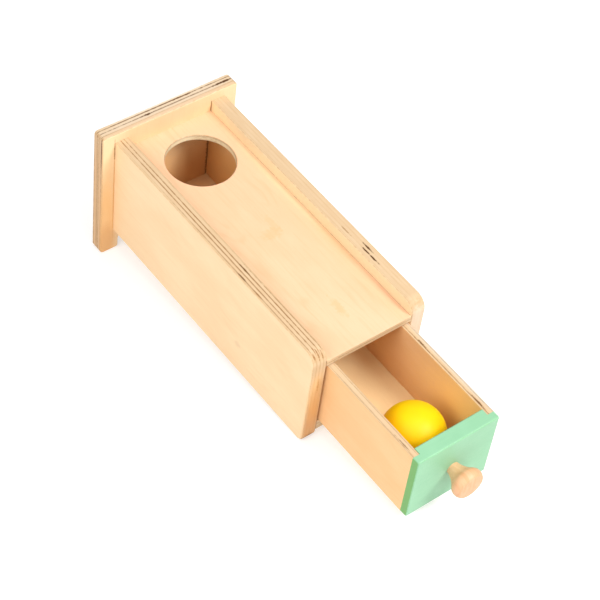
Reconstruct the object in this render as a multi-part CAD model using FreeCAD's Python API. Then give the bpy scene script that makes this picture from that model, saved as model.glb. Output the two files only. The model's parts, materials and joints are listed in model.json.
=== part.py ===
import FreeCAD, Part
import math
import os

# A wooden object permanence box: a ball is dropped through the round hole near the tall
# back plate, rolls forward down the leaning box and is found in the drawer.
#
# Everything is first made as if the box lay level: X across the box, Y from its open front
# to its back plate, Z up from the bottom edges of the side panels. The back plate reaches
# lower than the side panels, so the finished toy is then leaned forward until it rests on
# the plate's feet and on the rounded front corners of the side panels.

# Box, in millimetres
box_length = 240.0
box_width = 98.0
side_height = 93.0
side_thickness = 12.0
front_top_radius = 10.0
front_bottom_radius = 6.0
panel_arris = 1.2

# Top and bottom panels, let in between the side panels
top_thickness = 5.5
top_recess = 10.0
bottom_thickness = 9.0
bottom_recess = 7.0
panel_setback = 0.2
groove_depth = 4.0
groove_stop = 14.0
groove_end_gap = 1.0
thin_arris = 0.5

# Back plate, with a gap between its two feet
plate_width = 120.0
plate_thickness = 12.0
plate_rise = 8.0
plate_drop = 21.0
plate_corner_radius = 3.0
foot_width = 16.0
foot_gap_height = 14.0
foot_gap_radius = 6.0
foot_corner_radius = 2.0

# Dowels that join the panels, in blind holes
dowel_fit = 0.03
dowel_hole_spare = 1.0
dowel_chamfer = 0.6
back_dowel_radius = 3.0
back_dowel_in_plate = 8.0
back_dowel_in_side = 18.0
back_dowel_edge_distance = 24.0
bottom_dowel_radius = 2.5
bottom_dowel_in_side = 7.0
bottom_dowel_in_panel = 15.0
bottom_dowel_end_distance = 30.0
bottom_dowel_pairs = 3

# Drawer, which closes with its front flush between the side panels
drawer_pull = 96.7
drawer_side_gap = 1.5
drawer_slide_gap = 0.3
drawer_head_gap = 0.7
drawer_rear_gap = 2.0
drawer_side_thickness = 6.0
drawer_front_thickness = 12.0
drawer_front_rise = 0.3
drawer_front_arris = 1.2
drawer_front_rebate = 6.0
drawer_back_thickness = 6.0
drawer_floor_thickness = 5.0
drawer_floor_rise = 2.0
drawer_joint_depth = 3.0

# Knob and the countersunk screw that holds it from inside the drawer
knob_length = 20.0
knob_root_radius = 4.8
knob_head_radius = 11.9
knob_rim_width = 8.4
knob_rim_bulge = 1.7
knob_face_dome = 0.6
knob_face_round = 1.2
flare_radius_share = 0.41
flare_length_share = 0.6
screw_radius = 2.0
screw_head_radius = 4.0
screw_head_height = 2.2
screw_sink = 0.3
screw_in_knob = 13.0
screw_tip = 3.0
screw_hole_gap = 0.2

# Ball, as large as the drawer's width lets it be with its play, and the round hole that lets it in
ball_play = 6.0
ball_off_centre = 5.4
ball_gap = 0.3
hole_clearance = 3.0
hole_inset = 39.0
hole_arris = 0.8

# One overrun for all cuts that go through a face, and the angle of turned work
overrun = 1.0
full_turn = 360.0

# Places that follow from the sizes above
inner_half = box_width / 2 - side_thickness
side_middle = box_width / 2 - side_thickness / 2
top_upper = side_height - top_recess
top_under = top_upper - top_thickness
bottom_upper = bottom_recess + bottom_thickness
drawer_half = inner_half - drawer_side_gap
drawer_inner_half = drawer_half - drawer_side_thickness
drawer_under = bottom_upper + drawer_slide_gap
drawer_upper = top_under - drawer_head_gap
drawer_front_upper = drawer_upper + drawer_front_rise
drawer_front_inside = drawer_front_thickness - drawer_pull
drawer_side_start = drawer_front_inside - drawer_front_rebate
drawer_rear = box_length - drawer_rear_gap - drawer_pull
floor_start = drawer_front_inside - drawer_joint_depth
floor_under = drawer_under + drawer_floor_rise
floor_upper = floor_under + drawer_floor_thickness
knob_height = (drawer_under + drawer_front_upper) / 2
ball_radius = drawer_inner_half - ball_play
hole_radius = ball_radius + hole_clearance


def point(x, y, z):
    return FreeCAD.Vector(x, y, z)


X = point(1, 0, 0)
Y = point(0, 1, 0)
Z = point(0, 0, 1)


def box(low, high):
    """A rectangular block between two opposite corners."""
    size = high - low
    return Part.makeBox(size.x, size.y, size.z, low)


def outline(corners, place):
    """A closed wire through corners (a, b, radius), each rounded by its radius."""
    arcs = []
    entries = []
    exits = []
    for index, (a, b, radius) in enumerate(corners):
        corner = place(a, b)
        before = place(*corners[index - 1][:2])
        after = place(*corners[(index + 1) % len(corners)][:2])
        back = (before - corner).normalize()
        forth = (after - corner).normalize()
        if radius == 0:
            entries.append(corner)
            exits.append(corner)
            arcs.append(None)
            continue
        half_angle = back.getAngle(forth) / 2
        inward = (back + forth).normalize()
        entry = corner + back * (radius / math.tan(half_angle))
        leave = corner + forth * (radius / math.tan(half_angle))
        crown = corner + inward * (radius / math.sin(half_angle) - radius)
        entries.append(entry)
        exits.append(leave)
        arcs.append(Part.Arc(entry, crown, leave).toShape())
    edges = []
    for index, arc in enumerate(arcs):
        if arc:
            edges.append(arc)
        edges.append(Part.makeLine(exits[index], entries[(index + 1) % len(arcs)]))
    return Part.Wire(edges)


def slab(corners, place, thickness):
    """A flat board: the outline filled and given its thickness as a vector."""
    return Part.Face(outline(corners, place)).extrude(thickness)


def runs_along(edge, axis):
    """True for a straight edge that runs along the axis."""
    span = edge.lastVertex().Point - edge.firstVertex().Point
    return abs(span.dot(axis)) > span.cross(axis).Length


def eased(board, radius, wanted):
    """The board with its wanted edges sanded round."""
    return board.makeFillet(radius, [edge for edge in board.Edges if wanted(edge)])


def dowel_hole(radius, start, direction, depth):
    """A blind hole drilled from the surface point start along a unit direction."""
    mouth = start - direction * overrun
    return Part.makeCylinder(radius + dowel_fit, depth + dowel_hole_spare + overrun, mouth, direction)


def dowel(radius, start, direction, length):
    """A plain round dowel with chamfered ends."""
    rod = Part.makeCylinder(radius, length, start, direction)
    ends = [edge for edge in rod.Edges if not runs_along(edge, direction)]
    return rod.makeChamfer(dowel_chamfer, ends)


def back_dowel_places():
    """Where the side panels meet the back plate: two dowels in the end of each side panel."""
    heights = (back_dowel_edge_distance, side_height - back_dowel_edge_distance)
    return [point(side * side_middle, box_length, height) for side in (-1, 1) for height in heights]


def bottom_dowel_places():
    """Where the bottom panel meets each side panel, as (side, point) pairs."""
    step = (box_length - 2 * bottom_dowel_end_distance) / (bottom_dowel_pairs - 1)
    height = bottom_recess + bottom_thickness / 2
    places = []
    for side in (-1, 1):
        for index in range(bottom_dowel_pairs):
            along = bottom_dowel_end_distance + index * step
            places.append((side, point(side * inner_half, along, height)))
    return places


def side_panel(side):
    """A side panel with rounded front corners, a stopped groove for the top panel and dowel holes."""
    corners = [
        (0, 0, front_bottom_radius),
        (box_length, 0, 0),
        (box_length, side_height, 0),
        (0, side_height, front_top_radius),
    ]
    near_face = min(side * inner_half, side * box_width / 2)
    board = slab(corners, lambda y, z: point(near_face, y, z), X * side_thickness)

    def is_open_edge(edge):
        at_plate = edge.CenterOfMass.y > box_length - panel_arris
        return not at_plate and not runs_along(edge, X)

    board = eased(board, panel_arris, is_open_edge)
    groove_inner = side * (inner_half - overrun)
    groove_outer = side * (inner_half + groove_depth)
    groove = box(
        point(min(groove_inner, groove_outer), groove_stop, top_under),
        point(max(groove_inner, groove_outer), box_length + overrun, top_upper),
    )
    cuts = [groove]
    for place in back_dowel_places():
        if place.x * side > 0:
            cuts.append(dowel_hole(back_dowel_radius, place, Y * -1, back_dowel_in_side))
    for dowel_side, place in bottom_dowel_places():
        if dowel_side == side:
            cuts.append(dowel_hole(bottom_dowel_radius, place, X * side, bottom_dowel_in_side))
    return board.cut(cuts)


def top_panel():
    """The recessed top panel: tongues for the side grooves, and the round hole for the ball."""
    tongue_half = inner_half + groove_depth
    tongue_start = groove_stop + groove_end_gap
    corners = [
        (-inner_half, panel_setback, 0),
        (inner_half, panel_setback, 0),
        (inner_half, tongue_start, 0),
        (tongue_half, tongue_start, 0),
        (tongue_half, box_length, 0),
        (-tongue_half, box_length, 0),
        (-tongue_half, tongue_start, 0),
        (-inner_half, tongue_start, 0),
    ]
    board = slab(corners, lambda x, y: point(x, y, top_under), Z * top_thickness)
    centre = point(0, box_length - hole_inset, top_under - overrun)
    board = board.cut(Part.makeCylinder(hole_radius, top_thickness + 2 * overrun, centre))
    board = eased(board, hole_arris, lambda edge: edge.Closed)

    def is_front_edge(edge):
        return runs_along(edge, X) and edge.CenterOfMass.y < groove_stop

    return eased(board, thin_arris, is_front_edge)


def bottom_panel():
    """The bottom panel that the drawer slides on, held between the side panels by dowels."""
    board = box(
        point(-inner_half, panel_setback, bottom_recess),
        point(inner_half, box_length, bottom_upper),
    )

    def is_front_edge(edge):
        return runs_along(edge, X) and edge.CenterOfMass.y < box_length / 2

    board = eased(board, thin_arris, is_front_edge)
    holes = [
        dowel_hole(bottom_dowel_radius, place, X * -side, bottom_dowel_in_panel)
        for side, place in bottom_dowel_places()
    ]
    return board.cut(holes)


def back_plate():
    """The tall back plate: it stands out past the box all round and stands on two feet."""
    half = plate_width / 2
    gap_half = half - foot_width
    foot = -plate_drop
    gap_top = foot + foot_gap_height
    head = side_height + plate_rise
    corners = [
        (-half, foot, plate_corner_radius),
        (-gap_half, foot, foot_corner_radius),
        (-gap_half, gap_top, foot_gap_radius),
        (gap_half, gap_top, foot_gap_radius),
        (gap_half, foot, foot_corner_radius),
        (half, foot, plate_corner_radius),
        (half, head, plate_corner_radius),
        (-half, head, plate_corner_radius),
    ]
    board = slab(corners, lambda x, z: point(x, box_length, z), Y * plate_thickness)
    board = eased(board, panel_arris, lambda edge: not runs_along(edge, Y))
    holes = [dowel_hole(back_dowel_radius, place, Y, back_dowel_in_plate) for place in back_dowel_places()]
    return board.cut(holes)


def back_plate_dowels():
    """Four dowels between the ends of the side panels and the back plate."""
    length = back_dowel_in_side + back_dowel_in_plate
    return [
        dowel(back_dowel_radius, place - Y * back_dowel_in_side, Y, length)
        for place in back_dowel_places()
    ]


def bottom_panel_dowels():
    """The dowels between the bottom panel's edges and the side panels."""
    length = bottom_dowel_in_side + bottom_dowel_in_panel
    return [
        dowel(bottom_dowel_radius, place + X * side * bottom_dowel_in_side, X * -side, length)
        for side, place in bottom_dowel_places()
    ]


def drawer_front():
    """The painted front: rebated at both ends for the drawer sides and grooved for the floor."""
    board = box(
        point(-drawer_half, -drawer_pull, drawer_under),
        point(drawer_half, drawer_front_inside, drawer_front_upper),
    )

    def is_shown_edge(edge):
        upright_behind = runs_along(edge, Z) and edge.CenterOfMass.y > -drawer_pull
        return not upright_behind

    board = eased(board, drawer_front_arris, is_shown_edge)
    cuts = []
    for side in (-1, 1):
        inner = side * drawer_inner_half
        outer = side * (drawer_half + overrun)
        rebate = box(
            point(min(inner, outer), drawer_side_start, drawer_under - overrun),
            point(max(inner, outer), drawer_front_inside + overrun, drawer_front_upper + overrun),
        )
        cuts.append(rebate)
    floor_groove = box(
        point(-drawer_inner_half, floor_start, floor_under),
        point(drawer_inner_half, drawer_front_inside + overrun, floor_upper),
    )
    cuts.append(floor_groove)
    cuts.append(screw_shape(screw_hole_gap, drawer_front_thickness + overrun))
    return board.cut(cuts)


def drawer_side(side):
    """A drawer side: grooved for the floor and rebated behind for the back."""
    inner = side * drawer_inner_half
    outer = side * drawer_half
    board = box(
        point(min(inner, outer), drawer_side_start, drawer_under),
        point(max(inner, outer), drawer_rear, drawer_upper),
    )
    board = eased(board, thin_arris, lambda edge: runs_along(edge, Y))
    joint = side * (drawer_inner_half + drawer_joint_depth)
    open_side = side * (drawer_inner_half - overrun)
    floor_groove = box(
        point(min(open_side, joint), drawer_side_start - overrun, floor_under),
        point(max(open_side, joint), drawer_rear + overrun, floor_upper),
    )
    back_rebate = box(
        point(min(open_side, joint), drawer_rear - drawer_back_thickness, floor_upper),
        point(max(open_side, joint), drawer_rear + overrun, drawer_upper + overrun),
    )
    return board.cut([floor_groove, back_rebate])


def drawer_back():
    """The drawer back stands on the floor, in the rebates of the drawer sides."""
    half = drawer_inner_half + drawer_joint_depth
    board = box(
        point(-half, drawer_rear - drawer_back_thickness, floor_upper),
        point(half, drawer_rear, drawer_upper),
    )

    def is_upper_edge(edge):
        return runs_along(edge, X) and edge.CenterOfMass.z > floor_upper + thin_arris

    return eased(board, thin_arris, is_upper_edge)


def drawer_floor():
    """The drawer floor, with its edges in the grooves of the front and the sides."""
    half = drawer_inner_half + drawer_joint_depth
    return box(
        point(-half, floor_start, floor_under),
        point(half, drawer_rear, floor_upper),
    )


def drawer_knob():
    """A turned knob: a slim stem that flares to a barrel-shaped head with a slightly domed face."""
    face_edge_out = knob_length - knob_face_dome
    flare_end = face_edge_out - knob_rim_width
    shoulder = knob_head_radius - knob_rim_bulge
    dome_radius = (shoulder**2 + knob_face_dome**2) / (2 * knob_face_dome)
    dome_angle = math.asin(shoulder / dome_radius) / 2

    def at(radius, out):
        return point(radius, -drawer_pull - out, knob_height)

    stem = at(knob_root_radius, 0)
    flare = at(
        knob_root_radius + flare_radius_share * (shoulder - knob_root_radius),
        flare_length_share * flare_end,
    )
    rim_under = at(shoulder, flare_end)
    rim_crown = at(knob_head_radius, flare_end + knob_rim_width / 2)
    face_edge = at(shoulder, face_edge_out)
    dome_middle = at(
        dome_radius * math.sin(dome_angle),
        knob_length - dome_radius * (1 - math.cos(dome_angle)),
    )
    tip = at(0, knob_length)
    edges = [
        Part.makeLine(at(0, 0), stem),
        Part.Arc(stem, flare, rim_under).toShape(),
        Part.Arc(rim_under, rim_crown, face_edge).toShape(),
        Part.Arc(face_edge, dome_middle, tip).toShape(),
        Part.makeLine(tip, at(0, 0)),
    ]
    turned = Part.Face(Part.Wire(edges)).revolve(at(0, 0), Y, full_turn)

    def is_face_edge(edge):
        from_edge = edge.CenterOfMass - at(0, face_edge_out)
        return edge.Closed and abs(from_edge.y) < knob_face_dome / 2

    turned = eased(turned, knob_face_round, is_face_edge)
    pilot_mouth = at(0, -overrun)
    pilot_depth = screw_in_knob + dowel_hole_spare + overrun
    pilot = Part.makeCylinder(screw_radius + dowel_fit, pilot_depth, pilot_mouth, Y * -1)
    return turned.cut(pilot)


def screw_shape(gap, shank_length):
    """The countersunk screw's solid, or with a gap the hole that it passes through."""
    head_face = drawer_front_inside + (overrun if gap else -screw_sink)
    head_start = drawer_front_inside - screw_sink
    head_end = head_start - screw_head_height

    def at(radius, along):
        return point(radius, along, knob_height)

    corners = [
        at(0, head_face),
        at(screw_head_radius + gap, head_face),
        at(screw_head_radius + gap, head_start),
        at(screw_radius + gap, head_end),
        at(screw_radius + gap, head_start - shank_length),
        at(0, head_start - shank_length),
    ]
    if not gap:
        corners.remove(corners[2])
        corners[3] = at(screw_radius, head_start - shank_length + screw_tip)
    return Part.Face(Part.makePolygon(corners + corners[:1])).revolve(at(0, 0), Y, full_turn)


def knob_screw():
    """The wood screw that holds the knob, driven from inside the drawer."""
    return screw_shape(0, drawer_front_thickness - screw_sink + screw_in_knob)


def ball():
    """The ball lies at the front of the drawer, beside the middle."""
    clear = ball_gap + ball_radius
    centre = point(-ball_off_centre, drawer_front_inside + clear, floor_upper + clear)
    return Part.makeSphere(ball_radius, centre)


def lean_angle():
    """The angle at which the feet of the back plate and the front corners touch one table."""
    along = box_length + panel_arris - front_bottom_radius
    down = plate_drop - panel_arris + front_bottom_radius
    slack = math.asin((front_bottom_radius - panel_arris) / math.hypot(along, down))
    return math.atan2(down, along) - slack


def standing(shape):
    """The level shape leaned forward by the lean angle, its origin still in the front edge."""
    leaned = shape.copy()
    leaned.rotate(point(0, 0, 0), X, math.degrees(lean_angle()))
    return leaned


def build():
    """Every node by name, leaned and set on the table with the origin under its middle."""
    level = {
        "left_side_panel": side_panel(-1),
        "right_side_panel": side_panel(1),
        "top_panel": top_panel(),
        "bottom_panel": bottom_panel(),
        "back_plate": back_plate(),
        "back_plate_dowels": Part.makeCompound(back_plate_dowels()),
        "bottom_panel_dowels": Part.makeCompound(bottom_panel_dowels()),
        "drawer_front": drawer_front(),
        "drawer_left_side": drawer_side(-1),
        "drawer_right_side": drawer_side(1),
        "drawer_back": drawer_back(),
        "drawer_floor": drawer_floor(),
        "drawer_knob": drawer_knob(),
        "knob_screw": knob_screw(),
        "ball": ball(),
    }
    nodes = {name: standing(shape) for name, shape in level.items()}
    space = Part.makeCompound(list(nodes.values())).optimalBoundingBox(False, False)
    to_origin = point(0, -(space.YMin + space.YMax) / 2, -space.ZMin)
    for shape in nodes.values():
        shape.translate(to_origin)
    print("lean", math.degrees(lean_angle()), "moved by", to_origin)
    return nodes


os.makedirs("parts", exist_ok=True)
for name, shape in build().items():
    shape.exportStep("parts/" + name + ".step")
    print(name, "solids", len(shape.Solids), "volume", round(shape.Volume), "valid", shape.isValid())
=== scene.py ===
import json
import math
from collections import namedtuple

import bpy
from mathutils import Matrix, Vector

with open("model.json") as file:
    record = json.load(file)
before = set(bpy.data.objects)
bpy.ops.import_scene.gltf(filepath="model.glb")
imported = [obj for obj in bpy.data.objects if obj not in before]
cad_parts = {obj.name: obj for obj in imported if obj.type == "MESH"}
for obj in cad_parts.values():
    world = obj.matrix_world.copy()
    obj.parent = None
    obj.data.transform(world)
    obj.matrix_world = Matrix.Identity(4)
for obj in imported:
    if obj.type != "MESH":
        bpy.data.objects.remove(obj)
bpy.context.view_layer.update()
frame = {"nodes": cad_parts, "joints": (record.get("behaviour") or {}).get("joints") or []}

MM = 0.001

# The toy leans forward. Its drawer slides along the lean, so the slide's axis gives the angle.
slide_axis = next(Vector(joint["axis"]) for joint in frame["joints"] if joint["name"] == "drawer_slide")
lean = math.atan2(-slide_axis.z, -slide_axis.y)
level = Matrix.Rotation(-lean, 3, "X")
leaned = level.transposed()


def level_box(node):
    """Lowest and highest corner of a node when the leaning toy is turned back to level."""
    places = [level @ vertex.co for vertex in frame["nodes"][node].data.vertices]
    low = Vector([min(place[axis] for place in places) for axis in range(3)])
    high = Vector([max(place[axis] for place in places) for axis in range(3)])
    return low, high


# The box is measured in millimetres from one corner: midway between the side panels, where
# their front edges would meet their under edges. X is to the right, Y to the back plate, Z up.
panel_low = level_box("left_side_panel")[0]
box_corner = Vector((0, panel_low.y, panel_low.z))


def on_box(x, y, z):
    """A place given in the box's millimetres, where the leaning toy has it."""
    return leaned @ (box_corner + Vector((x, y, z)) * MM)


def reach_on_box(node):
    """A node's lowest and highest corner in the box's millimetres."""
    low, high = level_box(node)
    return (low - box_corner) / MM, (high - box_corner) / MM


def top_of(node):
    """How high a node's upper face lies on the box, to a tenth of a millimetre."""
    return round(reach_on_box(node)[1].z, 1)


def srgb(red, green, blue):
    """A colour as it is read off a screen, 0 to 255, as the linear colour that shaders take.

    The numbers are those of the sRGB curve.
    """
    linear = []
    for value in (red / 255, green / 255, blue / 255):
        linear.append(value / 12.92 if value <= 0.04045 else ((value + 0.055) / 1.055) ** 2.4)
    return (*linear, 1.0)


# A noise: how fine it is per millimetre of X, Y and Z, its own seed, its detail and its roughness
Pattern = namedtuple("Pattern", "per_mm seed detail roughness")

# How far a seed of 1 shifts a noise along X, Y and Z
SEED_SHIFTS = (1.0, 1.7, 2.3)

# The shares of a mark's half size where it ends and where it reaches its full strength
MARK_END_SHARE = 1.0
MARK_FULL_SHARE = 0.35

# The largest part of a normal where a face counts as flat and where an arris counts as round
FLAT = 0.985
ROUNDED = 0.86


class Finish:
    """A material's node tree, with short calls for the nodes that the finishes use."""

    def __init__(self, name):
        self.material = bpy.data.materials.new(name)
        self.material.use_nodes = True
        self.tree = self.material.node_tree
        self.tree.nodes.clear()
        self.surface = self.add("ShaderNodeBsdfPrincipled")
        output = self.add("ShaderNodeOutputMaterial")
        self.tree.links.new(self.surface.outputs["BSDF"], output.inputs["Surface"])

    def add(self, kind, **settings):
        node = self.tree.nodes.new(kind)
        for name, value in settings.items():
            setattr(node, name, value)
        return node

    def feed(self, socket, value):
        """Links another node's output to the socket, or sets a plain value on it."""
        if isinstance(value, bpy.types.NodeSocket):
            self.tree.links.new(value, socket)
        else:
            socket.default_value = value

    def shade(self, name, value):
        """Feeds one of the surface shader's inputs, by its name."""
        self.feed(self.surface.inputs[name], value)

    def number(self, operation, *values):
        node = self.add("ShaderNodeMath", operation=operation)
        for socket, value in zip(node.inputs, values):
            self.feed(socket, value)
        return node.outputs[0]

    def times(self, product, *factors):
        """The product of numbers."""
        for factor in factors:
            product = self.number("MULTIPLY", product, factor)
        return product

    def weigh(self, first, share, second, second_share):
        """The sum of two numbers, each times its share."""
        return self.number("MULTIPLY_ADD", first, share, self.times(second, second_share))

    def vector(self, x, y, z):
        node = self.add("ShaderNodeCombineXYZ")
        for socket, value in zip(node.inputs, (x, y, z)):
            self.feed(socket, value)
        return node.outputs[0]

    def parts(self, vector):
        node = self.add("ShaderNodeSeparateXYZ")
        self.feed(node.inputs[0], vector)
        return node.outputs[0], node.outputs[1], node.outputs[2]

    def move(self, operation, vector, *values):
        node = self.add("ShaderNodeVectorMath", operation=operation)
        for socket, value in zip(node.inputs, (vector, *values)):
            self.feed(socket, value)
        return node.outputs["Value" if operation == "LENGTH" else "Vector"]

    def step(self, value, low, high, to_low=0.0, to_high=1.0):
        """A smooth step from to_low to to_high, as the value goes from low to high."""
        node = self.add("ShaderNodeMapRange", interpolation_type="SMOOTHSTEP")
        for name, setting in (("Value", value), ("From Min", low), ("From Max", high),
                              ("To Min", to_low), ("To Max", to_high)):
            self.feed(node.inputs[name], setting)
        return node.outputs[0]

    def noise(self, place, pattern, seed=0.0):
        """Soft noise from 0 to 1 in the pattern, with a sheet's seed on top of the pattern's own."""
        shift = tuple(share * (pattern.seed + seed) for share in SEED_SHIFTS)
        spread = self.move("MULTIPLY_ADD", place, pattern.per_mm, shift)
        node = self.add("ShaderNodeTexNoise")
        for name, value in (("Vector", spread), ("Scale", 1.0),
                            ("Detail", pattern.detail), ("Roughness", pattern.roughness)):
            self.feed(node.inputs[name], value)
        return node.outputs["Fac"]

    def mix(self, share, first, second):
        node = self.add("ShaderNodeMix", data_type="RGBA")
        self.feed(node.inputs["Factor"], share)
        self.feed(node.inputs["A"], first)
        self.feed(node.inputs["B"], second)
        return node.outputs["Result"]

    def near(self, place, centre, half, ragged, rag):
        """One inside an egg round the centre, with the half sizes given, and nothing outside.

        The noise rag frays the egg's rim, as far as ragged says.
        """
        offset = self.move("DIVIDE", self.move("SUBTRACT", place, centre), half)
        frayed = self.number("SUBTRACT", rag, 0.5)
        away = self.number("MULTIPLY_ADD", frayed, ragged, self.move("LENGTH", offset))
        return self.step(away, MARK_END_SHARE, MARK_FULL_SHARE)

    def bump(self, height, distance, strength):
        node = self.add("ShaderNodeBump")
        node.inputs["Strength"].default_value = strength
        node.inputs["Distance"].default_value = distance
        self.feed(node.inputs["Height"], height)
        self.shade("Normal", node.outputs["Normal"])

    def place_on_box(self):
        """The shaded point in the box's millimetres."""
        source = self.add("ShaderNodeTexCoord")
        turn = self.add("ShaderNodeMapping", vector_type="POINT")
        turn.inputs["Rotation"].default_value = (-lean, 0, 0)
        turn.inputs["Scale"].default_value = (1 / MM, 1 / MM, 1 / MM)
        turn.inputs["Location"].default_value = -box_corner / MM
        self.feed(turn.inputs["Vector"], source.outputs["Object"])
        return turn.outputs[0]

    def level_normal(self):
        """How far the surface faces along the box's X, Y and Z, whichever way round."""
        source = self.add("ShaderNodeTexCoord")
        turn = self.add("ShaderNodeMapping", vector_type="POINT")
        turn.inputs["Rotation"].default_value = (-lean, 0, 0)
        self.feed(turn.inputs["Vector"], source.outputs["Normal"])
        return self.move("ABSOLUTE", turn.outputs[0])

    def arris(self, facing):
        """One where an edge is rounded, nothing on the flat faces beside it."""
        x, y, z = self.parts(facing)
        flattest = self.number("MAXIMUM", self.number("MAXIMUM", x, y), z)
        return self.step(flattest, FLAT, ROUNDED)

    def turned_place(self, node):
        """Where the shaded point lies on a piece that was turned round an axis along Y.

        Returned are its offset from the middle of the piece's front end, how far behind that
        end it is, and how far from the axis.
        """
        low, high = reach_on_box(node)
        middle = (low + high) / 2
        offset = self.move("SUBTRACT", self.place_on_box(), (middle.x, low.y, middle.z))
        x, y, z = self.parts(offset)
        return offset, y, self.move("LENGTH", self.vector(x, 0.0, z))


# The faces of the birch plywood, whose sheets differ a little in colour
PLATE_BIRCH = srgb(237, 206, 164)
LEFT_BIRCH = srgb(240, 208, 166)
RIGHT_BIRCH = srgb(241, 216, 174)
TOP_BIRCH = srgb(234, 190, 154)
DRAWER_BIRCH = srgb(238, 192, 140)
FLOOR_BIRCH = srgb(252, 222, 170)

# The edges of plywood: side grain, end grain, and the dashes in it
EDGE_BIRCH = srgb(207, 179, 143)
END_GRAIN = srgb(180, 142, 96)
OLIVE_LINE = srgb(134, 88, 36)
GREY_LINE = srgb(102, 64, 24)

# Marks with a ragged rim have the colours of the lines or one of these two
VOID = srgb(82, 48, 14)
FLAME = srgb(212, 164, 106)
RAGGED_RIM = 1.6

# Marks with a soft rim. All but the bleached tint are painted light and shade.
BLEACHED = srgb(232, 224, 210)
# Painted shade, darker and warmer, on the box's edges, on the back plate and on the drawer's right
# inner face
SHADED = srgb(210, 148, 84)
# Painted shade, warm: on the left panel's front edge and on the back plate's wing, which the box
# shadows
ORANGE_SHADE = srgb(238, 182, 108)
# Painted light: it lifts the shade along the top panel's sides and lightens the knob's stem
PALE_LIGHT = srgb(244, 210, 166)
# Painted shade inside the box, warmed as if by light bounced off the wood
WARM_INSIDE_SHADE = srgb(229, 170, 101)
# Painted bounced light, on the drawer's right inner face
GOLDEN_BOUNCE_LIGHT = srgb(254, 208, 126)
# Painted light that lifts the shade in the corners by the right panel and the back plate
CREAM_LIGHT = srgb(252, 234, 194)
# Painted warm bounced light inside the box, on the back plate and the bottom panel
HONEY_BOUNCE_LIGHT = srgb(254, 206, 144)
SOFT_TINTS = (SHADED, ORANGE_SHADE, PALE_LIGHT, WARM_INSIDE_SHADE, GOLDEN_BOUNCE_LIGHT, BLEACHED, CREAM_LIGHT, HONEY_BOUNCE_LIGHT)
SOFT_RIM = 0.3

# Paint, lacquer, knob, dowels and screw
MINT = srgb(134, 184, 146)
MINT_END = srgb(105, 163, 88)
MINT_THIN = srgb(145, 194, 157)
YELLOW = srgb(250, 199, 0)
DEEP_YELLOW = srgb(248, 194, 0)
KNOB_WOOD = srgb(222, 170, 130)
DARK_KNOB_WOOD = srgb(214, 158, 114)
BEECH = srgb(226, 180, 130)
DARK_BEECH = srgb(198, 148, 100)
BEECH_END = srgb(150, 106, 68)
ZINC = srgb(176, 176, 172)
DARK_ZINC = srgb(150, 150, 150)

# How much of its red, green and blue the densest wood loses
DENSEST_SHARES = (0.35, 0.6, 0.9)


def darker(colour, share):
    """The colour of denser wood."""
    parts = [part * (1 - loss * share) for part, loss in zip(colour, DENSEST_SHARES)]
    return (*parts, 1.0)


# A sheet of plywood. Grain is the axis that its faces' grain follows, and its layers lie along
# through. Line and strength are the colour and darkness of the dashes on its edges, and figure
# is how strong its face's flames and streaks are.
Sheet = namedtuple("Sheet", "node grain through plies seed birch line strength figure marks")

# Noises on a sheet, with X along its faces' grain and Z through its layers
CLOUDS = Pattern((0.012, 0.03, 0.03), 0.0, 3.0, 0.6)
CONTOURS = Pattern((0.0065, 0.03, 0.03), 5.0, 2.5, 0.5)
PATCHES = Pattern((0.02, 0.04, 0.04), 9.0, 3.0, 0.5)
STREAKS = Pattern((0.022, 0.5, 0.5), 2.0, 3.0, 0.62)
FIBRES = Pattern((0.14, 4.6, 4.6), 3.0, 2.0, 0.6)
FLECKS = Pattern((0.42, 2.3, 2.3), 4.0, 1.0, 0.5)
WANDER = Pattern((0.02, 0.02, 0.05), 6.0, 2.0, 0.5)
PORES = Pattern((0.9, 0.9, 2.4), 8.0, 3.0, 0.7)

# Noises on a sheet's layers. Here Z is the layer's number times the shift, so that no two
# layers look alike.
TONE = Pattern((0.016, 0.016, 1.0), 7.0, 3.0, 0.6)
DASHES = Pattern((0.25, 0.25, 1.0), 12.0, 4.0, 0.75)
SIDE_GRAIN = Pattern((0.05, 0.05, 1.0), 1.0, 2.0, 0.5)
LAYER_SHIFT = 9.1

# A noise on the box, which frays the marks and wears the arrises
RAG = Pattern((0.35, 0.35, 0.9), 11.0, 3.0, 0.65)

# How many rings of flame there are from the lowest to the highest of their contours
FLAME_RINGS = 13.0

# How strong streaks and flames are on a sheet whose figure is 1
STREAK_STRENGTH = 0.4
FLAME_STRENGTH = 0.5

# How much denser the wood is in a face's clouds, streaks and fibres, and in an edge's bands
CLOUD_DENSITY = 0.13
STREAK_DENSITY = 0.3
FIBRE_DENSITY = 0.35
BAND_DENSITY = 0.12

# An outer veneer's share of the sheet's thickness
OUTER_VENEER_SHARE = 0.07
# The whole height that a layer wanders along the edge, in millimetres
WANDER_REACH = 0.6
# The least share of a layer between any spot and the sheet's face, however the layers wander
LEAST_LAYER_SHARE = 0.4


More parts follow.
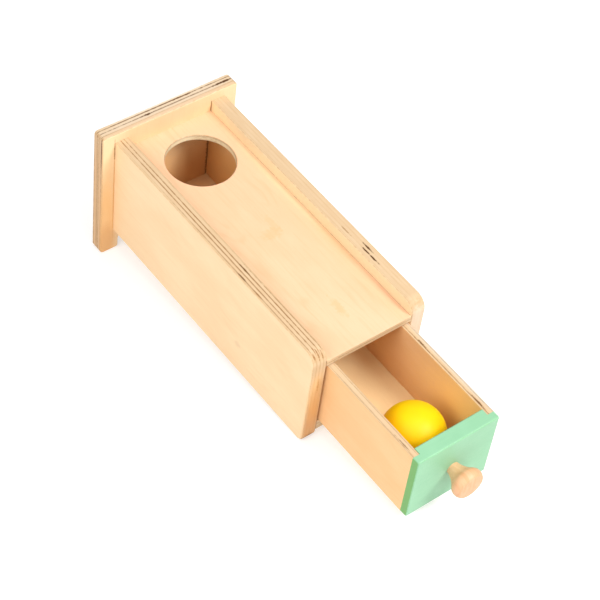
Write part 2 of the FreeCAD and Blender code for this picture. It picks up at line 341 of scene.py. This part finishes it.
def veneer(finish, spot, sheet):
    """The face of a rotary-cut veneer: clouds, faint flames, streaks and short fibres along X."""
    clouds = finish.noise(spot, CLOUDS, sheet.seed)
    rings = finish.times(finish.noise(spot, CONTOURS, sheet.seed), FLAME_RINGS)
    patches = finish.step(finish.noise(spot, PATCHES, sheet.seed), 0.46, 0.7)
    flames = finish.times(finish.step(finish.number("PINGPONG", rings, 0.5), 0.25, 0.5), patches)
    streaks = finish.noise(spot, STREAKS, sheet.seed)
    fibres = finish.noise(spot, FIBRES, sheet.seed)
    flecks = finish.noise(spot, FLECKS, sheet.seed)
    cloudy = darker(sheet.birch, CLOUD_DENSITY)
    streaky = darker(sheet.birch, STREAK_DENSITY)
    fibrous = darker(sheet.birch, FIBRE_DENSITY)
    streaked = finish.step(streaks, 0.45, 0.75, to_high=STREAK_STRENGTH * sheet.figure)
    colour = finish.mix(finish.step(clouds, 0.34, 0.68), sheet.birch, cloudy)
    colour = finish.mix(streaked, colour, streaky)
    colour = finish.mix(finish.times(flames, FLAME_STRENGTH * sheet.figure), colour, streaky)
    colour = finish.mix(finish.step(fibres, 0.5, 0.78, to_high=0.3), colour, fibrous)
    colour = finish.mix(finish.step(flecks, 0.74, 0.84, to_high=0.3), colour, END_GRAIN)
    return colour, fibres


def layer_at(finish, spot, sheet, low, thickness):
    """Which of the sheet's layers the spot is in, counted from its low face."""
    outer = OUTER_VENEER_SHARE * thickness
    inner = (thickness - 2 * outer) / (sheet.plies - 2)
    wander = finish.number("SUBTRACT", finish.noise(spot, WANDER, sheet.seed), 0.5)
    depth = finish.number("MULTIPLY_ADD", wander, WANDER_REACH, finish.parts(spot)[2])
    inside = finish.number("SUBTRACT", depth, low + outer)
    layer = finish.number("MULTIPLY_ADD", inside, 1 / inner, 1.0)
    layer = finish.number("MAXIMUM", layer, LEAST_LAYER_SHARE)
    return finish.number("MINIMUM", layer, sheet.plies - LEAST_LAYER_SHARE)


def end_grain(finish, facing, count):
    """One where a layer shows its end grain, nothing where it shows its side grain.

    The even layers run along X, as the faces do, and the odd ones along Y.
    """
    facing_u, facing_v, _ = finish.parts(facing)
    odd = finish.number("PINGPONG", count, 1.0)
    even = finish.number("SUBTRACT", 1.0, odd)
    return finish.number(
        "ADD",
        finish.times(odd, finish.step(facing_v, 0.4, 0.9)),
        finish.times(even, finish.step(facing_u, 0.4, 0.9)),
    )


def layers(finish, spot, facing, sheet, low, thickness):
    """The edge of plywood: layers along Z, by turns end grain and side grain.

    End grain shows as a line of dashes, which is as dark as its strength and the line's colour.
    """
    layer = layer_at(finish, spot, sheet, low, thickness)
    count = finish.number("FLOOR", layer)
    within = finish.number("PINGPONG", layer, 0.5)
    end = end_grain(finish, facing, count)
    u, v, _ = finish.parts(spot)
    per_layer = finish.vector(u, v, finish.times(count, LAYER_SHIFT))
    tone = finish.step(finish.noise(per_layer, TONE, sheet.seed), 0.36, 0.58, to_low=0.2)
    dashes = finish.step(finish.noise(per_layer, DASHES, sheet.seed), 0.4, 0.56, to_low=0.2)
    pores = finish.noise(spot, PORES, sheet.seed)
    side = finish.noise(per_layer, SIDE_GRAIN, sheet.seed)
    banded = darker(EDGE_BIRCH, BAND_DENSITY)
    wood = finish.mix(finish.step(side, 0.35, 0.7), EDGE_BIRCH, banded)
    body = finish.times(end, finish.step(within, 0.02, 0.3))
    speckled = 1 + sheet.strength
    speckle = finish.step(pores, 0.3, 0.7, to_low=0.1 * speckled, to_high=0.25 * speckled)
    wood = finish.mix(finish.times(body, speckle), wood, END_GRAIN)
    core = finish.times(end, finish.step(within, 0.22, 0.46))
    dashed = finish.times(tone, dashes, sheet.strength)
    wood = finish.mix(finish.times(core, dashed), wood, sheet.line)
    return wood, pores, end


def plywood(sheet):
    """Birch plywood: veneer on its faces, layers on its edges, its marks, some of them painted light
    and shade, and worn arrises.
    """
    finish = Finish("plywood_" + sheet.node)
    place = finish.place_on_box()
    facing = finish.level_normal()
    order = [sheet.grain, ({"X", "Y", "Z"} - {sheet.grain, sheet.through}).pop(), sheet.through]
    own_place = dict(zip("XYZ", finish.parts(place)))
    own_facing = dict(zip("XYZ", finish.parts(facing)))
    spot = finish.vector(*(own_place[axis] for axis in order))
    turned = finish.vector(*(own_facing[axis] for axis in order))
    low, high = (corner["XYZ".index(sheet.through)] for corner in reach_on_box(sheet.node))

    face, fibres = veneer(finish, spot, sheet)
    edge, pores, end = layers(finish, spot, turned, sheet, low, high - low)
    colour = finish.mix(finish.step(own_facing[sheet.through], 0.9, 0.5), face, edge)
    rag = finish.noise(place, RAG, sheet.seed)
    for centre, half, strength, tint in sheet.marks:
        ragged = SOFT_RIM if tint in SOFT_TINTS else RAGGED_RIM
        spread = finish.near(place, centre, half, ragged, rag)
        colour = finish.mix(finish.times(spread, strength), colour, tint)
    worn = finish.times(finish.arris(facing), finish.step(rag, 0.3, 0.7, to_low=0.1, to_high=0.5))
    finish.shade("Base Color", finish.mix(worn, colour, END_GRAIN))
    finish.shade("Roughness", finish.step(fibres, 0.25, 0.75, to_low=0.46, to_high=0.6))
    finish.shade("Specular IOR Level", 0.25)
    height = finish.weigh(fibres, 0.4, finish.times(pores, end), 0.8)
    finish.bump(height, distance=0.05 * MM, strength=0.7)
    return finish.material


# Noises on the painted front
PEEL = Pattern((0.8, 0.8, 0.8), 3.0, 3.0, 0.6)
BRUSHED = Pattern((0.03, 0.4, 0.5), 8.0, 3.0, 0.6)
PAINT_CLOUDS = Pattern((0.04, 0.04, 0.04), 5.0, 2.0, 0.5)


def paint(node, face, end, thin):
    """Satin paint on wood: a faint orange peel, thinner here and there, and deeper on end grain.

    The arrises are a little rubbed, which shows as the deeper colour too.
    """
    finish = Finish("paint_" + node)
    place = finish.place_on_box()
    facing = finish.level_normal()
    peel = finish.noise(place, PEEL)
    brushed = finish.noise(place, BRUSHED)
    clouds = finish.noise(place, PAINT_CLOUDS)
    colour = finish.mix(finish.step(clouds, 0.35, 0.7, to_high=0.5), face, thin)
    colour = finish.mix(finish.step(brushed, 0.4, 0.75, to_high=0.3), colour, thin)
    to_end = finish.parts(facing)[0]
    colour = finish.mix(finish.step(to_end, 0.75, 0.95), colour, end)
    rub = finish.times(finish.arris(facing), finish.step(peel, 0.35, 0.65, to_low=0.05, to_high=0.4))
    finish.shade("Base Color", finish.mix(rub, colour, end))
    finish.shade("Roughness", finish.step(peel, 0.3, 0.7, to_low=0.36, to_high=0.48))
    finish.shade("Specular IOR Level", 0.35)
    finish.bump(finish.weigh(brushed, 0.6, peel, 0.4), distance=0.04 * MM, strength=0.6)
    return finish.material


# Noises on the knob, whose grain runs through its length, along Y
KNOB_GRAIN = Pattern((0.5, 0.03, 0.12), 2.0, 3.0, 0.6)
KNOB_FIBRES = Pattern((3.4, 0.12, 1.6), 6.0, 2.0, 0.6)
# How fast the tool rings follow each other, in radians per millimetre of radius
TOOL_RINGS = 9.0
# Where the painted light on the stem begins and is at its strongest, as shares of the knob's length
# from its front
STEM_LIGHT_SHARES = (0.35, 0.85)


def turned_wood(node, light, dark):
    """A turned knob: wood grain through its length, fine tool rings round its axis, and painted light
    on its stem.
    """
    finish = Finish("turned_" + node)
    offset, behind, radius = finish.turned_place(node)
    low, high = reach_on_box(node)
    begins, palest = (share * (high.y - low.y) for share in STEM_LIGHT_SHARES)
    grain = finish.noise(offset, KNOB_GRAIN)
    fibres = finish.noise(offset, KNOB_FIBRES)
    rings = finish.number("SINE", finish.times(radius, TOOL_RINGS))
    colour = finish.mix(finish.step(grain, 0.36, 0.66), light, dark)
    # Painted light on the stem, paler towards the drawer front
    colour = finish.mix(finish.step(behind, begins, palest, to_high=0.35), colour, PALE_LIGHT)
    colour = finish.mix(finish.step(fibres, 0.5, 0.75, to_high=0.15), colour, END_GRAIN)
    finish.shade("Base Color", colour)
    finish.shade("Roughness", finish.step(fibres, 0.3, 0.7, to_low=0.42, to_high=0.55))
    finish.shade("Specular IOR Level", 0.4)
    finish.bump(finish.weigh(rings, 0.12, fibres, 0.5), distance=0.05 * MM, strength=0.6)
    return finish.material


# Noises on the ball
BALL_CLOUDS = Pattern((0.06, 0.06, 0.06), 4.0, 2.0, 0.5)
BALL_GRAIN = Pattern((0.25, 1.4, 1.4), 7.0, 3.0, 0.6)


def lacquer(node, colour, deep):
    """Smooth lacquer on a wooden ball: slightly uneven, with the grain just felt under it."""
    finish = Finish("lacquer_" + node)
    place = finish.place_on_box()
    clouds = finish.noise(place, BALL_CLOUDS)
    grain = finish.noise(place, BALL_GRAIN)
    colour = finish.mix(finish.step(clouds, 0.35, 0.7, to_high=0.6), colour, deep)
    colour = finish.mix(finish.step(grain, 0.5, 0.8, to_high=0.25), colour, deep)
    finish.shade("Base Color", colour)
    finish.shade("Roughness", finish.step(grain, 0.3, 0.7, to_low=0.44, to_high=0.5))
    finish.shade("Specular IOR Level", 0.22)
    finish.shade("Subsurface Weight", 0.9)
    finish.shade("Subsurface Radius", (1.0, 0.8, 0.1))
    finish.shade("Subsurface Scale", 16 * MM)
    finish.bump(finish.weigh(grain, 0.3, clouds, 1.0), distance=0.05 * MM, strength=0.5)
    return finish.material


# How fine a dowel's fibres are per millimetre along it and across it
DOWEL_ALONG = 0.1
DOWEL_ACROSS = 3.0


def dowel_wood(name, axis):
    """Bare beech dowels: straight fibres along them and darker end grain."""
    finish = Finish(name)
    facing = dict(zip("XYZ", finish.parts(finish.level_normal())))
    per_mm = tuple(DOWEL_ALONG if letter == axis else DOWEL_ACROSS for letter in "XYZ")
    fibres = finish.noise(finish.place_on_box(), Pattern(per_mm, 1.0, 3.0, 0.6))
    colour = finish.mix(finish.step(fibres, 0.35, 0.7), BEECH, DARK_BEECH)
    colour = finish.mix(finish.step(facing[axis], 0.7, 0.95, to_high=0.6), colour, BEECH_END)
    finish.shade("Base Color", colour)
    finish.shade("Roughness", finish.step(fibres, 0.3, 0.7, to_low=0.6, to_high=0.75))
    finish.bump(fibres, distance=0.06 * MM, strength=0.6)
    return finish.material


# Noises on the screw. The turning marks go by radius and length.
TURNING_MARKS = Pattern((9.0, 3.0, 1.0), 2.0, 2.0, 0.5)
MOTTLE = Pattern((0.7, 0.7, 0.7), 5.0, 2.0, 0.5)


def screw_steel(node):
    """A zinc-plated screw: turning marks round its axis and a faint mottle."""
    finish = Finish("steel_" + node)
    _, behind, radius = finish.turned_place(node)
    marks = finish.noise(finish.vector(radius, behind, 0.0), TURNING_MARKS)
    mottle = finish.noise(finish.place_on_box(), MOTTLE)
    finish.shade("Base Color", finish.mix(finish.step(mottle, 0.35, 0.65), ZINC, DARK_ZINC))
    finish.shade("Metallic", 1.0)
    finish.shade("Roughness", finish.step(marks, 0.3, 0.7, to_low=0.28, to_high=0.45))
    finish.bump(marks, distance=0.02 * MM, strength=0.5)
    return finish.material


def dress(node, material):
    """Gives a CAD node its finish, in every slot that it has."""
    for slot in frame["nodes"][node].material_slots:
        slot.material = material


# Where the faces lie that carry most of the marks, in the box's millimetres
panel_top = top_of("left_side_panel")
top_face = top_of("top_panel")
plate_top = top_of("back_plate")
drawer_top = top_of("drawer_left_side")
bottom_face = top_of("bottom_panel")
plate_face = round(reach_on_box("back_plate")[0].y, 1)

# Each mark is a spot of another colour: its centre and half sizes on the box, its strength and
# its colour. They were chosen where the photograph shows such spots.
# Many of the marks are painted light and shade; the comments in the lists say which.
left_marks = (
    ((-47.4, 70, panel_top), (0.6, 130, 4), 0.5, OLIVE_LINE),
    ((-44.6, 120, panel_top), (0.6, 240, 4), 0.75, OLIVE_LINE),
    ((-41.7, 110, panel_top), (0.6, 240, 4), 0.8, OLIVE_LINE),
    ((-38.9, 40, panel_top), (0.6, 70, 4), 0.6, OLIVE_LINE),
    ((-47.3, 65, panel_top), (0.9, 8, 4), 0.8, OLIVE_LINE),
    ((-47.3, 84, panel_top), (0.9, 7, 4), 0.8, GREY_LINE),
    ((-41.6, 90, panel_top), (0.9, 8, 4), 0.8, GREY_LINE),
    ((-46.6, 2.5, 92), (0.9, 5, 6), 0.9, OLIVE_LINE),
    ((-43.2, 3.0, 92), (0.9, 6, 6), 0.9, OLIVE_LINE),
    ((-40.2, 2.0, 91), (0.9, 5, 6), 0.8, OLIVE_LINE),
    ((-42.0, 0, 60), (1.0, 4, 9), 0.8, OLIVE_LINE),
    # The next three marks are painted shade: the front edge grows darker and warmer towards its foot.
    ((-43, 0, 10), (9, 4, 55), 0.75, SHADED),
    ((-43, 0, 48), (9, 4, 36), 0.4, ORANGE_SHADE),
    ((-43, -1, 1), (9, 6, 8), 0.8, OLIVE_LINE),
    ((-49, 80, 27), (1.5, 5, 3.5), 0.14, OLIVE_LINE),
)
right_marks = (
    # Painted light at the top of the inner face, where the top panel shades it
    ((36.2, 120, 90), (1.3, 300, 24), 1.0, CREAM_LIGHT),
    ((43, 0, 60), (9, 4, 60), 0.35, BLEACHED),
    # Painted warm shade low on the inner face, inside the box
    ((37, 200, 30), (3, 120, 60), 0.9, WARM_INSIDE_SHADE),
    ((41.3, 49.5, panel_top), (0.9, 7, 4), 0.95, VOID),
    ((41.3, 58.0, panel_top), (0.9, 7, 4), 0.95, VOID),
    ((44.3, 61.0, panel_top), (0.9, 8, 4), 0.95, VOID),
    ((41.2, 82.5, panel_top), (0.7, 8, 4), 0.6, OLIVE_LINE),
)
top_marks = (
    # The next two marks are painted light, lifting the shade along the side panels.
    ((-36, 115, top_face), (6, 170, 2), 0.7, PALE_LIGHT),
    ((36, 150, top_face), (6, 130, 2), 0.6, PALE_LIGHT),
    ((-1, 34, top_face), (4, 13, 2), 0.35, FLAME),
    ((1, 114, top_face), (11, 7, 2), 0.3, FLAME),
    ((7, 122, top_face), (4, 12, 2), 0.2, FLAME),
    ((35, 85, top_face), (5, 36, 2), 0.2, FLAME),
    ((-37.1, 120, top_face), (0.7, 300, 2), 0.5, OLIVE_LINE),
    ((37.1, 120, top_face), (0.6, 300, 2), 0.3, OLIVE_LINE),
    # Painted light, lifting the shade where the top panel meets the back plate
    ((0, 201, 79.6), (60, 60, 3.8), 1.0, CREAM_LIGHT),
)
plate_marks = (
    ((0, 246, plate_top), (90, 9, 3), 0.25, BLEACHED),
    ((-10, 249.0, plate_top), (80, 0.8, 3), 0.7, GREY_LINE),
    ((10, 246.0, plate_top), (80, 0.8, 3), 0.5, GREY_LINE),
    ((-17, 245.9, plate_top), (6, 1.3, 3), 0.9, VOID),
    ((50, 246.0, plate_top), (11, 1.4, 3), 0.95, VOID),
    ((14, 248.9, plate_top), (22, 1.0, 3), 0.7, GREY_LINE),
    ((0, 252.2, plate_top), (90, 2.4, 4), 0.9, BLEACHED),
    # Painted shade on the top edge, behind its front arris
    ((0, 242.2, plate_top), (90, 2.0, 2), 0.25, SHADED),
    # Painted shade on the wing beside the box, darker and warmer towards the bottom
    ((-56, plate_face, 5), (12, 3, 78), 0.5, ORANGE_SHADE),
    ((-56, plate_face, -12), (12, 3, 30), 0.5, SHADED),
    # Painted warm shade and bounced light on the face inside the box
    ((26, plate_face, 30), (44, 3, 58), 0.55, WARM_INSIDE_SHADE),
    ((-14, plate_face, 40), (26, 3, 48), 0.9, HONEY_BOUNCE_LIGHT),
    ((36.4, plate_face, 40), (1.6, 2, 45), 0.8, OLIVE_LINE),
    # A dark line at the joint with the left panel, partly a dark joint and partly painted shade
    ((-49.4, plate_face, 40), (0.75, 2, 66), 0.75, SHADED),
    ((-49.4, plate_face, 84), (0.75, 2, 14), 0.75, OLIVE_LINE),
    # Painted shade on the left end
    ((-60, 246, 30), (2, 14, 110), 0.35, SHADED),
    ((-60, 246.2, 25), (2, 0.7, 120), 0.6, OLIVE_LINE),
    ((36.7, plate_face, 88), (0.9, 2, 8), 0.9, OLIVE_LINE),
    ((-60, 241.5, 86), (2, 1.0, 22), 0.8, GREY_LINE),
)
bottom_marks = (
    # Painted warm bounced light under the hole
    ((0, 200, bottom_face), (60, 200, 5), 0.6, HONEY_BOUNCE_LIGHT),
)
drawer_left_marks = (
    ((-34.6, -50, drawer_top), (0.5, 90, 2), 0.4, OLIVE_LINE),
    ((-30.9, -50, drawer_top), (0.5, 90, 2), 0.3, OLIVE_LINE),
    ((-33.4, -78, drawer_top), (0.6, 9, 2), 0.7, GREY_LINE),
)
drawer_right_marks = (
    ((31.2, -50, drawer_top), (0.5, 90, 2), 0.5, OLIVE_LINE),
    ((34.7, -50, drawer_top), (0.6, 90, 2), 0.5, GREY_LINE),
    ((31.4, -79, drawer_top), (0.9, 9, 2), 0.9, GREY_LINE),
    # Painted bounced light at the front of the inner face and painted shade behind it, which move with
    # the drawer
    ((29.2, -85, 48), (0.8, 95, 60), 0.9, GOLDEN_BOUNCE_LIGHT),
    ((29.2, 10, 30), (0.8, 60, 60), 0.25, SHADED),
    ((34.8, -45, drawer_top), (2.4, 80, 3), 0.3, BLEACHED),
    ((31.5, -19, drawer_top), (0.9, 5, 3), 0.9, GREY_LINE),
)
no_marks = ()

# The columns are named with Sheet, above
sheets = (
    Sheet("left_side_panel", "Y", "X", 9, 1.0, LEFT_BIRCH, OLIVE_LINE, 0.3, 0.7, left_marks),
    Sheet("right_side_panel", "Y", "X", 9, 2.3, RIGHT_BIRCH, OLIVE_LINE, 0.0, 0.35, right_marks),
    Sheet("top_panel", "Y", "Z", 5, 3.1, TOP_BIRCH, OLIVE_LINE, 0.6, 1.0, top_marks),
    Sheet("bottom_panel", "Y", "Z", 7, 4.7, LEFT_BIRCH, OLIVE_LINE, 0.5, 0.5, bottom_marks),
    Sheet("back_plate", "Z", "Y", 9, 5.2, PLATE_BIRCH, GREY_LINE, 1.3, 0.35, plate_marks),
    Sheet("drawer_left_side", "Y", "X", 5, 6.6, DRAWER_BIRCH, OLIVE_LINE, 0.2, 0.4, drawer_left_marks),
    Sheet("drawer_right_side", "Y", "X", 5, 7.4, DRAWER_BIRCH, GREY_LINE, 0.9, 0.4, drawer_right_marks),
    Sheet("drawer_back", "X", "Y", 5, 8.9, DRAWER_BIRCH, OLIVE_LINE, 0.4, 0.4, no_marks),
    Sheet("drawer_floor", "Y", "Z", 3, 9.5, FLOOR_BIRCH, OLIVE_LINE, 0.4, 0.4, no_marks),
)
for sheet in sheets:
    dress(sheet.node, plywood(sheet))
dress("back_plate_dowels", dowel_wood("back_dowel_beech", "Y"))
dress("bottom_panel_dowels", dowel_wood("bottom_dowel_beech", "X"))
dress("drawer_front", paint("drawer_front", MINT, MINT_END, MINT_THIN))
dress("drawer_knob", turned_wood("drawer_knob", KNOB_WOOD, DARK_KNOB_WOOD))
dress("knob_screw", screw_steel("knob_screw"))
dress("ball", lacquer("ball", YELLOW, DEEP_YELLOW))

# A floor that reaches far out, in metres, and glows a little, so that it shows as plain white
FLOOR_REACH = 25.0
FLOOR_GREY = (0.6, 0.6, 0.6, 1)
FLOOR_GLOW = 0.5
WHITE = (1, 1, 1, 1)
floor_mesh = bpy.data.meshes.new("floor")
floor_mesh.from_pydata(
    [(-FLOOR_REACH, -FLOOR_REACH, 0), (FLOOR_REACH, -FLOOR_REACH, 0),
     (FLOOR_REACH, FLOOR_REACH, 0), (-FLOOR_REACH, FLOOR_REACH, 0)],
    [], [(0, 1, 2, 3)],
)
floor = bpy.data.objects.new("floor", floor_mesh)
bpy.context.scene.collection.objects.link(floor)
floor_finish = Finish("pale_floor")
floor_finish.shade("Base Color", FLOOR_GREY)
floor_finish.shade("Roughness", 1.0)
floor_finish.shade("Specular IOR Level", 0.0)
floor_finish.shade("Emission Color", WHITE)
floor_finish.shade("Emission Strength", FLOOR_GLOW)
floor_mesh.materials.append(floor_finish.material)

# Pale light from all round
WORLD_STRENGTH = 0.42
world = bpy.data.worlds.new("studio")
world.use_nodes = True
world.node_tree.nodes["Background"].inputs["Color"].default_value = WHITE
world.node_tree.nodes["Background"].inputs["Strength"].default_value = WORLD_STRENGTH
bpy.context.scene.world = world


def aim(thing, place, target, roll=0.0):
    """Puts a light or camera at a place, looking at the target, turned by the roll."""
    back = (place - target).normalized()
    right = Vector((0, 0, 1)).cross(back).normalized()
    up = back.cross(right)
    turned_right = math.cos(roll) * right + math.sin(roll) * up
    turned_up = back.cross(turned_right)
    turn = Matrix((turned_right, turned_up, back)).transposed()
    thing.matrix_world = Matrix.Translation(place) @ turn.to_4x4()


def round_about(target, azimuth, elevation, distance):
    """The place at a distance from the target, where azimuth 0 is straight in front of the drawer."""
    flat = math.cos(elevation)
    back = Vector((math.sin(azimuth) * flat, -math.cos(azimuth) * flat, math.sin(elevation)))
    return target + distance * back


TOY_MIDDLE = on_box(0, 70, 55)


def softbox(name, size, watts, azimuth, elevation, distance):
    """A round soft light that looks at the toy's middle, with its angles in degrees."""
    data = bpy.data.lights.new(name, "AREA")
    data.shape = "DISK"
    data.size = size
    data.energy = watts
    light = bpy.data.objects.new(name, data)
    bpy.context.scene.collection.objects.link(light)
    place = round_about(TOY_MIDDLE, math.radians(azimuth), math.radians(elevation), distance)
    aim(light, place, TOY_MIDDLE)


softbox("key_light", size=0.9, watts=38.0, azimuth=26.0, elevation=46.0, distance=2.2)
softbox("left_light", size=1.6, watts=26.0, azimuth=-80.0, elevation=40.0, distance=2.4)
softbox("top_light", size=1.6, watts=15.0, azimuth=-10.0, elevation=80.0, distance=2.4)
softbox("front_light", size=1.0, watts=9.0, azimuth=-12.0, elevation=24.0, distance=2.4)

# The camera that was fitted to the photograph: lens and sensor in millimetres, distance in metres
LENS = 109.865
SENSOR = 36.0
LOOK_AT = on_box(-2.422, 71.788, 54.322)
AZIMUTH = math.radians(-39.764)
ELEVATION = math.radians(45.029)
ROLL = math.radians(3.443)
DISTANCE = 1.30097
camera_data = bpy.data.cameras.new("camera")
camera_data.lens = LENS
camera_data.sensor_width = SENSOR
camera = bpy.data.objects.new("camera", camera_data)
bpy.context.scene.collection.objects.link(camera)
aim(camera, round_about(LOOK_AT, AZIMUTH, ELEVATION, DISTANCE), LOOK_AT, ROLL)
bpy.context.scene.camera = camera
bpy.context.scene.view_settings.view_transform = "Standard"
